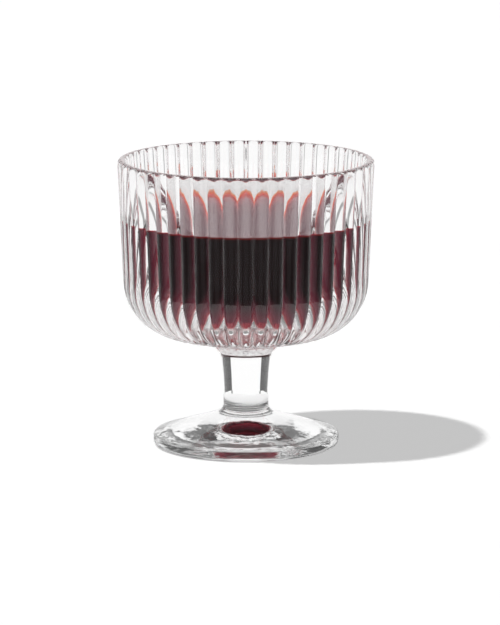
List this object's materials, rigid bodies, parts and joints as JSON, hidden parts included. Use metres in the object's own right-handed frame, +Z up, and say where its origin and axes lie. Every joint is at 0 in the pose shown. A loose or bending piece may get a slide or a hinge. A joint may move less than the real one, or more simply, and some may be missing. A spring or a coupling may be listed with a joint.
{
  "type": "aperitif glass",
  "caption": "Low footed glass with a wide ribbed bowl on a short solid stem and a round foot, holding a dark red drink.",
  "frame": {"origin": "centre of the ring that the foot stands on, at table level", "axes": "+Z up along the axis of the glass; of the 51 ribs one has its crest at -Y"},
  "size_m": [0.0818, 0.0818, 0.0923],
  "materials": {
    "clear_glass": "clear pressed glass, fire polished",
    "red_drink": "dark red liquid with a still surface"
  },
  "bodies": {
    "root": {"foot": "clear_glass", "stem": "clear_glass", "bowl": "clear_glass", "drink": "red_drink"}
  },
  "joints": []
}
